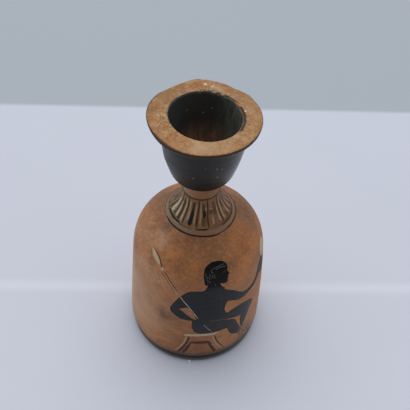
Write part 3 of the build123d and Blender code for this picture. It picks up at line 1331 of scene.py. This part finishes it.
gloss = black_gloss("black_gloss", 0.12, 0.24)
dress(turned_piece("foot_disc", foot_outline, False), foot_gloss(), "foot")
dress(turned_piece("body_pot", body_outline, False), red_clay(), "body")
dress(turned_piece("neck_collar", neck_outline, True), pale_clay(), "neck")
dress(turned_piece("mouth_cup", mouth_outline, True, chipped_lip), mouth_gloss(), "mouth")
dress(make_handle(), gloss, "handle")
dress(make_lime_fleck(), lime())


# Painted figure: seated, seen from behind, looking right

HEAD_ANGLE = 18.7
HEAD_HEIGHT = 64.7
HEAD_SCALE = 1.04

# An outline is a row of runs of places. Each run goes on from where the one before it ends, and
# the first one from where the last one ends. The head is in millimetres right of and above its
# middle: a cap of short hair and a plain profile on textbook proportions.
HEAD = (
    (
        (-5.3, -4.6), (-5.7, -2.6), (-5.6, 0.6), (-4.7, 3.4), (-2.6, 5.3),
        (0.2, 5.85), (2.8, 5.2), (4.5, 3.7), (5, 2.3),
    ),
    ((4.8, 1.5), (4.65, 0.7), (5.05, -0.2), (5.75, -1.2)),
    ((5.3, -1.55), (4.8, -1.6)),
    ((5.15, -2.1), (4.6, -2.5)),
    ((5, -2.95), (4.5, -3.45), (4.8, -4.3), (4.2, -5.2), (2.9, -5.5), (1.2, -4.9)),
    ((1.9, -6.6), (3.6, -8.6)),
    ((-6.6, -8.6),),
    ((-5.1, -7.2), (-4.5, -6), (-4.2, -5.1)),
)

# The rest is in angles and heights. Back, bent left arm and seat:
TRUNK = (
    (
        (16, 58.4), (10, 57.8), (6.5, 56.5), (0, 56.3), (-3.4, 56), (-7.3, 54.6),
        (-11, 52.1), (-15.9, 47.3), (-19.3, 43), (-20.7, 40.3),
    ),
    ((-19.4, 38.1), (-16, 36.5), (-11, 34.8), (-5, 34.3), (-1.4, 34.4)),
    ((-1.5, 31), (-0.9, 28.4), (1.3, 25.8), (3.6, 24.7), (10.5, 24.2), (22, 24.2)),
    ((29, 28), (29.6, 33)),
    ((28.6, 36.6), (26.5, 38.8), (26, 41), (26.9, 44), (28.5, 45.7)),
    ((29.5, 50), (26.5, 54.8), (22, 57.2)),
)

# Clay seen between the bent arm and the back.
ARM_GAP = (
    ((-9.5, 43), (-12.9, 42)),
    ((-9.2, 40.4), (-5.6, 38.4), (-0.5, 35.8), (2.6, 35.3)),
    ((0.8, 37.8), (-1.2, 40.4), (-3.4, 42.9), (-6.6, 44)),
)

# Right arm held out as far as the elbow.
RAISED_ARM = (
    ((26, 55), (32, 52.7), (38, 49.7), (44, 46.6), (48.6, 46)),
    ((50.2, 44.4), (49.4, 42.8)),
    ((45, 42.5), (40.5, 42.6), (35.8, 43.7), (31.2, 45.1), (28, 45.8)),
    ((20, 51), (22, 57.2)),
)

# Forearm raised round the side, with a fist on the second spear.
FOREARM = (
    ((52.2, 46), (57.3, 46.8), (62, 48.5), (64.6, 51.2), (67.4, 53.9), (72, 56.3)),
    ((77.5, 54.6), (81.5, 51), (83, 47), (80.5, 44.2), (77.4, 43.6), (73, 45.4)),
    ((68.6, 46.6), (64.9, 45.2), (61.3, 43.9), (55.4, 43.3), (48.2, 42.7)),
    ((47.4, 46),),
)

NEAR_LEG = (
    ((20, 24.1), (29.3, 24.4)),
    ((30.6, 22.6), (31.9, 20.2), (34.9, 17.7)),
    ((39, 16), (43.2, 14.7)),
    ((44.8, 16.4), (44.4, 18.4), (42.6, 20.9), (40.1, 24.2), (38.2, 27), (36.8, 28.8)),
    ((34, 29.8), (29, 31.4), (20, 32.5), (8, 32)),
    ((8, 24.2),),
)

FAR_LEG = (
    ((30.4, 37.1), (34.9, 37.9), (41.1, 38.1), (47.4, 37.3), (53, 36), (58.2, 33.6)),
    ((58.6, 32.4), (56.8, 30.8), (54.4, 28.6), (52.4, 25.6), (49.4, 21.8), (46, 17.8)),
    ((44, 20.5), (43, 23.8), (42.8, 26.6), (43.3, 28.7)),
    ((40.2, 29.3), (35.7, 30.3), (30.6, 31.5), (24, 34.6)),
)

# The foot in front, of which only a brown stain is left.
WORN_FOOT = (
    ((46.4, 18.9), (51, 14.6), (56.2, 10.7)),
    ((54.3, 8.9), (49.3, 9.3), (44.8, 11.4), (42.4, 15)),
    ((43.4, 18),),
)

# Blade and knob of the spear, and the second spear's blade at the right edge of the front.
BLADE = (
    ((-46.6, 67.3), (-44, 66.3), (-40, 65.2), (-36.4, 64.7), (-33.4, 64.3)),
    ((-35, 65.6), (-37.6, 66.7), (-41.5, 67.6), (-46, 68.3), (-49.8, 68.4)),
)
FAR_BLADE = (
    ((72.4, 57.4), (71.6, 59.4), (73.4, 61.8), (78.4, 63.6), (84, 64.2)),
    ((83.4, 60.4), (80, 57), (75.6, 55.6)),
)
KNOB = (
    ((-29.6, 63.5), (-31, 62.6)),
    ((-32.4, 63.5), (-31, 64.3)),
)

# Lines scratched through the black down to the clay: width, then places. On the head they are
# the eye, the ear and the nape, and on the body the spine and the hip.
HEAD_SCRATCHES = (
    (0.13, (2.5, 0.3), (3.2, 0.75), (4, 0.45)),
    (0.13, (2.5, 0.2), (3.2, -0.1), (4, 0.35)),
    (0.19, (-0.2, 0.2), (-1.2, -0.2), (-1.1, -1.5), (-0.3, -1.9)),
    (0.19, (-3.6, -2.6), (-3.2, -3.4), (-3.4, -4.3)),
    (0.19, (-1.2, -4.6), (-0.8, -5.4), (-1, -6.3)),
)
BODY_SCRATCHES = (
    (0.1, (23.6, 52.5), (22.8, 49.8), (22.6, 47)),
    (0.1, (22.8, 44.5), (22.8, 42), (23.2, 40)),
    (0.25, (11, 33.8), (17, 33.3), (24, 32.7), (28.5, 31.5), (33, 30.3), (36, 29.6)),
)

# Grey strokes of waved hair: a band over the brow and locks down the back of the head.
HAIR_WIDTHS = (0.34, 0.3)
LOCKS = (
    ((-2, 2.6), (0, 3.2), (1.6, 3.6), (3.6, 3.9)),
    ((-0.6, 2), (1.2, 2.7), (2.8, 2.8), (4.5, 2.7)),
    ((-2, 2.6), (-2.4, 1.4), (-1.4, 0.8)),
    ((-4.6, 1.2), (-4.9, 0), (-4.3, -1), (-4.7, -2)),
    ((-3.4, 0.8), (-3, -0.2), (-3.5, -1.2), (-3, -2.2)),
    ((-2.2, 0), (-1.9, -0.8), (-2.4, -1.6)),
    ((-4.6, -2.2), (-4, -2.9), (-4.2, -3.8)),
)

# A brush stroke is the width at its start and end, then the angles and heights that it goes through.
BARE_SHAFT = ((0.5, 0.45), (-30.6, 62.9), (-21.9, 58.2), (-12.5, 51.3))
UPPER_SHAFT = ((0.55, 0.5), (-12.9, 51.6), (-2.5, 42.6), (3.6, 36.1))
LOWER_SHAFT = ((0.4, 0.45), (8.2, 31.4), (11.6, 28.6), (15.2, 25.5))
SPEAR_EDGES = (
    (
        (0.5, 0.7), (-44.5, 68.3), (-40.4, 67.9), (-37.2, 67.1), (-34.6, 66), (-32.6, 64.5), (-31.4, 63.8),
    ),
    ((0.45, 0.4), (-29, 62.8), (-25.2, 61.4), (-20.3, 58.3), (-14.5, 54.4)),
    ((0.3, 0.2), (-31, 62), (-26.8, 60.2), (-22.5, 57.3), (-17, 53.8)),
)
STOOL_SEAT = (
    (2, 1.4), (-7.4, 22.5), (-2.8, 22.9), (4.7, 23.2), (11.6, 23.2), (17.6, 23.1), (22.2, 23.4),
)
STOOL_FACES = (
    ((0.9, 0.8), (-5, 21.6), (-5.6, 19.8), (-7, 16.8), (-9.8, 12.8), (-14, 8.6)),
    ((0.9, 0.8), (17.4, 21.6), (18.9, 18), (20.8, 15), (23.4, 12.2), (26.4, 9.4)),
)
STOOL_LINES = (
    ((1, 1.6), (-2.9, 22), (-3.3, 20.4), (-4.6, 17), (-7.4, 12.8), (-11.8, 8.2)),
    ((1.3, 1.9), (-1, 17.6), (-2.4, 15.2), (-4.2, 12.2), (-7.6, 8)),
    ((1.3, 1.9), (13.6, 17.6), (14.8, 15.6), (16.4, 13), (20.3, 8.2)),
    ((0.9, 0.6), (18.4, 21.6), (19.8, 18.6), (21.9, 15.5), (24.6, 12.8), (28.2, 9.4)),
    ((2, 2), (-1.6, 17.3), (6, 17.2), (14.4, 17.1)),
)


def head_curve(*spots):
    """A smooth line on the head, given in millimetres right of and above its middle."""
    middle = skin.along(HEAD_HEIGHT)
    places = []
    for right, up in spots:
        along = middle + up * HEAD_SCALE
        angle = math.radians(HEAD_ANGLE) + right * HEAD_SCALE / skin.at(along)[0].x
        places.append(Vector((angle * PAPER_RADIUS, along)))
    return curve(*places, step=0.2)


def make_figure():
    """The head, in thicker black than the rest, and the rest."""
    scratches = [line_outline(head_curve(*places), width) for width, *places in HEAD_SCRATCHES]
    scratches += [line_outline(flat_curve(*places), width) for width, *places in BODY_SCRATCHES]
    fills = [outline(*runs) for runs in (TRUNK, RAISED_ARM, NEAR_LEG, FAR_LEG)]
    head = painted_patch("head", [outline(*HEAD, draw=head_curve)], [outline(*TRUNK), *scratches])
    return head, painted_patch("figure", fills, [outline(*ARM_GAP), *scratches])


def make_hair():
    lines = []
    for lock in LOCKS:
        places = []
        for spot in head_curve(*lock):
            places.append((math.degrees(spot.x / PAPER_RADIUS), skin.at(spot.y)[0].y))
        lines.append((HAIR_WIDTHS, places))
    return brush_lines("hair_strokes", lines, OVERPAINT)


def make_blades():
    fills = [outline(*runs) for runs in (BLADE, FAR_BLADE, KNOB)]
    return painted_patch("spear_blades", fills, lift=OVERPAINT)


# Tongues on the collar

# Lines between the tongues: angle at the top and at the foot.
TONGUE_EDGES = (
    (-62.8, -61.2), (-36.5, -33.6), (-3.4, -4.8), (22.5, 19.2), (57.4, 52.8), (88, 84.4),
    (118, 118), (148, 148), (178, 178), (207, 207), (237, 237), (267, 267),
)
BARE_TONGUES = (0, 1, 2, 3, 4, 11)
TONGUE_TOP = 90.2
TONGUE_FOOT = 78.5

# Thick black left on the tongues: angle and height at the top, then at the foot, then both widths.
TONGUE_CORES = (
    (-18.2, 85.2, -19.8, 79, 1.3, 2),
    (12, 85.4, 11.4, 82.2, 1.2, 1.4),
    (132, 84, 133, 80, 1, 1.6),
    (192, 83, 192, 79, 1, 1.8),
    (222, 85, 222, 81, 1.1, 1.6),
)

# Brown and olive strokes left of the worn tongues.
TONGUE_STROKES = (
    ((1, 1.7), (-50, 88.6), (-48.6, 85), (-47.6, 82), (-47, 79)),
    ((0.8, 2), (-78, 84.4), (-81, 81.8), (-84.5, 78.7)),
    ((0.6, 0.8), (-104, 83), (-98, 81.2), (-92, 79.2)),
    ((1.3, 1.6), (-17, 88.8), (-17.8, 86.8), (-18.4, 84.8)),
)

# Paler brown stains on the right.
TONGUE_STAINS = (
    ((1.2, 1.4), (9.5, 88.7), (10.5, 86.8), (11.5, 85)),
    ((1.4, 1.8), (10.4, 82.6), (9.4, 81), (8.8, 79.2)),
    ((1.3, 1.7), (41.5, 88.4), (42, 86.6), (42.4, 84.8), (40.4, 82.2)),
    ((1.4, 1.1), (32, 84.8), (29.5, 84), (27, 83)),
    ((1.2, 1.4), (72.8, 86.4), (72, 84.6), (71, 82.4)),
    ((1.2, 1.5), (70, 80.8), (68.8, 79.4), (68, 78.3)),
    ((1.1, 1.4), (101, 81.2), (100, 79.6), (99, 78.2)),
)

# Pale clay left bare between the tongues.
TONGUE_LIGHTS = (
    ((1, 1.9), (-71.2, 86.4), (-71.8, 83.4), (-73.2, 80.8), (-71.6, 79.2)),
    ((0.9, 1.3), (-56.8, 86.4), (-55.6, 83), (-54.4, 79.4)),
    ((0.7, 1.2), (-42.4, 89.2), (-41, 86), (-40.6, 82.6), (-40.8, 79.4)),
    ((0.8, 1.1), (-28.6, 89), (-27.4, 86.6), (-26.8, 83.6), (-26.6, 80.4)),
    ((0.6, 1), (-10, 88.4), (-10.4, 84.4), (-11.2, 79.6)),
    ((0.6, 0.9), (3.4, 88.4), (2.8, 84), (2, 79.8)),
    ((0.7, 0.7), (17.6, 86.6), (17, 85.7), (16.4, 84.8)),
    ((0.7, 0.6), (28.6, 86), (30.5, 85.6), (33.5, 85.3)),
    ((0.9, 1.1), (32.4, 82), (31.2, 80.8), (30, 79.4)),
    ((0.7, 1.2), (50.4, 85.4), (48.8, 82.4), (47.6, 79.4)),
    ((0.7, 1.1), (64.4, 88.6), (62.6, 85), (60.4, 81.8), (58.6, 79.2)),
    ((0.7, 1.1), (79.6, 85.4), (78.4, 82.4), (76.4, 79.2)),
    ((0.6, 1), (94.6, 83), (93, 81), (91.4, 79.2)),
    ((0.5, 0.8), (112, 82.6), (109, 80.8), (106, 79.2)),
)


def make_tongue_edges():
    lines = []
    for top, foot in TONGUE_EDGES:
        upper = (top + (foot - top) * 0.36 + 1, 86)
        lower = (top + (foot - top) * 0.7 - 0.8, 82)
        lines.append(((0.7, 0.95), (top, TONGUE_TOP), upper, lower, (foot, TONGUE_FOOT)))
    return strokes("tongue_edges", lines)


def make_tongues():
    """The filled middles of the tongues, worn thin."""
    lines = []
    for i, (edge, _) in enumerate(TONGUE_EDGES):
        if i in BARE_TONGUES:
            continue
        after = TONGUE_EDGES[(i + 1) % len(TONGUE_EDGES)][0]
        middle = edge + ((after - edge) % 360) / 2
        top = 88.6 + 0.8 * noise.noise(Vector((i * 1.37, 2, 0)))
        lines.append(((1.3, 2.4), (middle, top), (middle - 0.5, 84), (middle, TONGUE_FOOT + 0.6)))
    return strokes("tongues", lines)


def make_tongue_cores():
    lines = []
    for top_angle, top, foot_angle, foot, *widths in TONGUE_CORES:
        middle = ((top_angle + foot_angle) / 2 + 0.6, (top + foot) / 2)
        lines.append((widths, (top_angle, top), middle, (foot_angle, foot)))
    return strokes("tongue_cores", lines, OVERPAINT)


# Lines round the pot

# Rings and arcs: width at the start and end, height, then the first and last angle and how far
# the arc is raised on the left and at the front.
COLLAR_RING = COLLAR_LEVEL + 0.2
BOLD_RINGS = (
    ((0.8, 0.95), COLLAR_RING, -68, 34, 0.32, -0.2),
    ((1, 1), 78.6, -80, -38),
    ((0.5, 0.85), 78.3, -6, 18),
)
FAINT_RINGS = (
    ((1, 0.45), COLLAR_RING, 30, 293, 0.08, -0.2),
    ((1.2, 1), 78.1, 44, 106),
    ((0.45, 0.4), 78.3, -40, -14),
    ((0.5, 0.5), 78.3, 100, 285),
    ((0.95, 0.95), 90.6),
)
BASE_BAND = (((2.1, 2.1), FOOT_TOP + 1.1),)


def ring(height, start=0, end=360, left=0, front=0):
    """A line round the flask with a slight waver, or an arc of one, raised on the left or front."""
    count = math.ceil((end - start) / 2)
    whole = end - start == 360
    line = []
    for i in range(count if whole else count + 1):
        angle = start + (end - start) * i / count
        turn = math.radians(angle)
        waver = noise.noise(Vector((math.sin(turn), math.cos(turn), height)) * 1.7)
        line.append((angle, height + 0.1 * waver - left * math.sin(turn) + front * math.cos(turn)))
    return line


def rings(name, arcs):
    return brush_lines(name, [(widths, ring(*arc)) for widths, *arc in arcs])


# Paint on the flask

GREY_CREAM = ((0.5, 0.45, 0.36), (0.27, 0.225, 0.17))
DIM_CREAM = ((0.3, 0.295, 0.265), (0.14, 0.132, 0.118))
cream = added_cream("added_cream", 0)
brown = worn_wash("dilute_brown", BROWN, 0.06)
thin_black = worn_wash("thin_black", (0.012, 0.011, 0.009), 0.08)
head, figure = make_figure()
dress(head, black_gloss("thick_gloss", 0.1, 0.12))
dress(figure, gloss)
dress(make_hair(), worn_wash("hair_grey", (0.075, 0.066, 0.064), 0.05))
thin_arm = worn_wash("thin_arm", (0.035, 0.022, 0.017), 0.06)
dress(painted_patch("forearm", [outline(*FOREARM)]), thin_arm)
stain = worn_wash("worn_foot", (0.085, 0.06, 0.036), 0.3)
dress(painted_patch("worn_foot", [outline(*WORN_FOOT)]), stain)

dress(make_blades(), cream)
bare_shaft = strokes("worn_shaft", [BARE_SHAFT], OVERPAINT)
dress(bare_shaft, added_cream("worn_cream", 0.25))
upper_shaft = strokes("spear_shaft", [UPPER_SHAFT], OVERPAINT)
dress(upper_shaft, added_cream("grey_cream", 0.1, *GREY_CREAM))
lower_shaft = strokes("low_shaft", [LOWER_SHAFT], OVERPAINT)
dress(lower_shaft, added_cream("dim_cream", 0.1, *DIM_CREAM))
dress(strokes("spear_edges", SPEAR_EDGES), brown)

dress(strokes("stool_seat", [STOOL_SEAT]), cream)
dress(strokes("stool_leg_faces", STOOL_FACES), added_cream("faded_cream", 0.2))
stool_brown = worn_wash("stool_brown", (0.065, 0.029, 0.016), 0.08)
dress(strokes("stool_lines", STOOL_LINES), stool_brown)

tongue_wash = worn_wash("tongue_wash", (0.085, 0.047, 0.025), 0.17)
tongue_brown = worn_wash("tongue_strokes", (0.055, 0.036, 0.021), 0.12)
dress(make_tongue_edges(), brown)
dress(make_tongues(), tongue_wash)
dress(make_tongue_cores(), thin_black)
dress(strokes("tongue_strokes", TONGUE_STROKES), tongue_brown)
dress(strokes("tongue_stains", TONGUE_STAINS), tongue_wash)
dress(strokes("tongue_lights", TONGUE_LIGHTS), tongue_light())

dress(rings("bold_rings", BOLD_RINGS), thin_black)
dress(rings("faint_rings", FAINT_RINGS), brown)
# Base band: black, greyer at the sides from wear and painted light.
base_black = worn_wash("base_black", (0.04, 0.034, 0.033), 0.14, WORN_AND_LIT_BASE)
dress(rings("base_band", BASE_BAND), base_black)


# Studio

FLOOR_REACH = 2500.0
FLOOR_COLOUR = (0.592, 0.612, 0.70)
FLOOR_EDGE = 170.1
FLOOR_EDGE_TURN = math.radians(3.5)
CREASE = 11.1
CREASE_HIGHLIGHT = (0.68, 0.71, 0.80)
BACKDROP_COLOUR = (0.392, 0.43, 0.477)

# The lamp overhead, in metres and watts.
OVERHEAD_PLACE = Vector((-0.15, 0.78, 2.97))
OVERHEAD_TARGET = Vector((0, 0, 0.06))
OVERHEAD_SIZE = 2.6
OVERHEAD_POWER = 45.0
OVERHEAD_COLOUR = (1.0, 0.98, 0.95)

# The light of the room: strength at the left and right, and the share that is left in front.
ROOM_COLOUR = (0.90, 0.95, 1.0)
LEFT_LIGHT = 0.78
RIGHT_LIGHT = 0.69
FRONT_LIGHT = 0.1

CAMERA_PITCH = math.radians(47.172)
CAMERA_ROLL = math.radians(3.383)
CAMERA_DISTANCE = 268.4
CAMERA_TARGET = Vector((2.089, 0.0, 79.198))
CAMERA_NEAREST = 10.0
SENSOR_WIDTH = 36.0
PICTURE_WIDTH = 410
FOCAL_PIXELS = 600


def table_material():
    """Pale table with a painted highlight along a faint crease, and the grey backdrop beyond its far edge.
    """
    shader = Shader("pale_table")
    mottle = shader.noise(60, detail=3)
    pale = shader.blend(mottle, FLOOR_COLOUR, tuple(part * 0.97 for part in FLOOR_COLOUR))
    inputs = {"Vector": shader.place, "Angle": -FLOOR_EDGE_TURN}
    turned = shader.node("VectorRotate", inputs, rotation_type="Z_AXIS")["Vector"]
    away = shader.node("SeparateXYZ", {"Vector": turned})["Y"]
    from_crease = shader.sum("ABSOLUTE", shader.sum("SUBTRACT", away, CREASE / METRE), 0)
    # Painted highlight along the crease.
    pale = shader.lay(pale, CREASE_HIGHLIGHT, shader.fade(from_crease, 6, 0), 0.6)
    beyond = shader.fade(away, FLOOR_EDGE - 2.5, FLOOR_EDGE + 2.5)
    return shader.finish(shader.blend(beyond, pale, BACKDROP_COLOUR), 0.6, specular=0.3)


def make_stage():
    sides = ((-1, -1), (1, -1), (1, 1), (-1, 1))
    corners = [Vector((x, y, 0)) * FLOOR_REACH / METRE for x, y in sides]
    floor = mesh_piece("floor", corners, [(0, 1, 2, 3)])
    floor.data.materials.append(table_material())


def make_lamp():
    lamp = bpy.data.lights.new("overhead", "AREA")
    lamp.shape = "DISK"
    lamp.size = OVERHEAD_SIZE
    lamp.energy = OVERHEAD_POWER
    lamp.color = OVERHEAD_COLOUR
    aim = (OVERHEAD_TARGET - OVERHEAD_PLACE).to_track_quat("-Z", "Y")
    holder = in_scene("overhead", lamp)
    holder.matrix_world = Matrix.Translation(OVERHEAD_PLACE) @ aim.to_matrix().to_4x4()


def make_room_light():
    """Soft light from all round, dimmer towards the front of the flask and brighter on its left."""
    world = bpy.data.worlds.new("room")
    world.use_nodes = True
    nodes = Nodes(world.node_tree)
    ways = nodes.node("SeparateXYZ", {"Vector": nodes.node("TexCoord")["Generated"]})
    front = nodes.slope(ways["Y"], (-1, -0.1), (FRONT_LIGHT, 1))
    side = nodes.slope(ways["X"], (-1, 1), (LEFT_LIGHT, RIGHT_LIGHT))
    sky = world.node_tree.nodes["Background"]
    nodes.join(ROOM_COLOUR, sky.inputs["Color"])
    nodes.join(nodes.times(front, side), sky.inputs["Strength"])
    bpy.context.scene.world = world


def make_camera():
    lens = bpy.data.cameras.new("camera")
    lens.sensor_width = SENSOR_WIDTH
    lens.lens = SENSOR_WIDTH * FOCAL_PIXELS / PICTURE_WIDTH
    lens.clip_start = CAMERA_NEAREST / METRE
    back = Vector((0, -math.cos(CAMERA_PITCH), math.sin(CAMERA_PITCH)))
    level = Vector((1, 0, 0))
    rise = back.cross(level)
    right = level * math.cos(CAMERA_ROLL) + rise * math.sin(CAMERA_ROLL)
    up = rise * math.cos(CAMERA_ROLL) - level * math.sin(CAMERA_ROLL)
    eye = (CAMERA_TARGET + back * CAMERA_DISTANCE) / METRE
    camera = in_scene("camera", lens)
    camera.matrix_world = Matrix.Translation(eye) @ Matrix((right, up, back)).transposed().to_4x4()
    bpy.context.scene.camera = camera


make_stage()
make_lamp()
make_room_light()
make_camera()
bpy.context.scene.view_settings.view_transform = "Standard"
